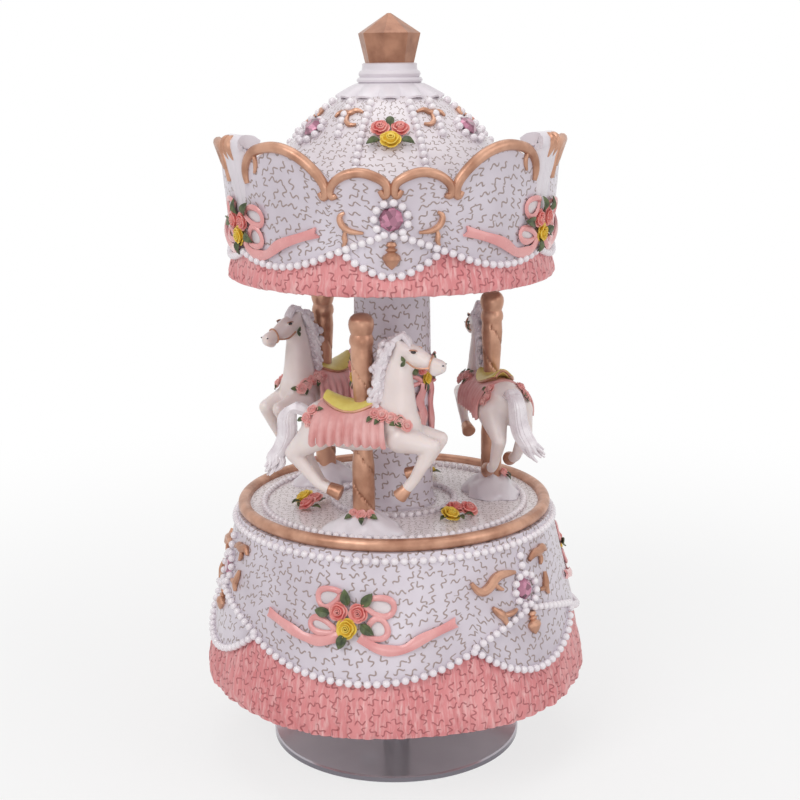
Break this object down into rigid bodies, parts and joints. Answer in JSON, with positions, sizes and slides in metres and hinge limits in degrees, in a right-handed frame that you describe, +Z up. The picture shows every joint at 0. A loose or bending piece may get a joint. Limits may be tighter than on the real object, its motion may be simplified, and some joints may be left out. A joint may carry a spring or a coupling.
{
  "type": "carousel music box",
  "caption": "Carousel music box: pearl-white resin carousel with horses on poles under a crowned canopy, turning on a polished disc that winds the spring movement in its base.",
  "frame": {"origin": "centre of the footprint on the table, on the turning axis", "axes": "+Z up along the turning axis, -Y is the front seen in the picture"},
  "size_m": [0.0838, 0.0838, 0.158],
  "materials": {
    "white_resin": "pearl white painted resin with fine brown squiggles",
    "coral_resin": "coral pink painted resin",
    "bronze_paint": "satin bronze paint on resin",
    "horse_resin": "translucent warm white resin",
    "pink_stone": "cut pink stone",
    "flower_paint": "painted resin blossoms",
    "chrome": "polished",
    "pad_foam": "dark soft pad",
    "zinc": "zinc plated",
    "nylon": "plain",
    "cover_board": "black board",
    "bed_casting": "nickel plated",
    "steel": "hardened steel",
    "brass": "machined",
    "governor_plastic": "moulded"
  },
  "bodies": {
    "turntable": {"foot_pad": "pad_foam", "turntable_disc": "chrome", "disc_hub": "chrome", "hub_screw": "zinc", "thrust_washer": "nylon", "winding_arbor": "steel", "crown_wheel": "brass"},
    "carousel": {"base_shell": "white_resin", "centre_column": "white_resin", "canopy_valance": "white_resin", "canopy_dome": "white_resin", "petal_collar": "white_resin", "mound_1": "white_resin", "mound_2": "white_resin", "mound_3": "white_resin", "skirt_ruffle": "coral_resin", "canopy_fringe": "coral_resin", "rim_bead": "bronze_paint", "valance_trim": "bronze_paint", "finial": "bronze_paint", "pole_1": "bronze_paint", "pole_2": "bronze_paint", "pole_3": "bronze_paint", "horse_1": "horse_resin", "horse_2": "horse_resin", "horse_3": "horse_resin", "gemstones": "pink_stone", "deck_flowers": "flower_paint", "cover_screws": "zinc", "movement_screws": "zinc", "comb_screws": "zinc", "bottom_cover": "cover_board", "bedplate": "bed_casting", "inner_post": "bed_casting", "outer_plate": "bed_casting", "idler_post": "bed_casting", "governor_bracket": "bed_casting", "spring_housing": "bed_casting", "housing_lid": "bed_casting", "comb": "steel", "mainspring": "steel"},
    "cylinder": {"cylinder_spindle": "steel", "cylinder_pinion": "brass", "pin_cylinder": "brass", "cylinder_wheel": "brass"},
    "idler": {"idler_spindle": "steel", "idler_pinion": "brass", "worm_wheel": "brass"},
    "governor": {"worm_shaft": "governor_plastic", "air_brake": "governor_plastic"}
  },
  "joints": [
    {"name": "carousel_spin", "type": "hinge", "parent": "turntable", "child": "carousel", "pos_m": [0, 0, 0], "axis": [0, 0, 1], "continuous": true},
    {"name": "cylinder_spin", "type": "hinge", "parent": "carousel", "child": "cylinder", "pos_m": [0.022, 0, 0.032], "axis": [1, 0, 0], "continuous": true},
    {"name": "idler_spin", "type": "hinge", "parent": "carousel", "child": "idler", "pos_m": [0.027, 0.01085, 0.032], "axis": [1, 0, 0], "continuous": true},
    {"name": "governor_spin", "type": "hinge", "parent": "carousel", "child": "governor", "pos_m": [0.0245, 0.015, 0.032], "axis": [0, 0, 1], "continuous": true}
  ],
  "couplings": [
    {"joint": "cylinder_spin", "follows": "carousel_spin", "ratio": 4},
    {"joint": "idler_spin", "follows": "carousel_spin", "ratio": -20},
    {"joint": "governor_spin", "follows": "carousel_spin", "ratio": 320}
  ]
}
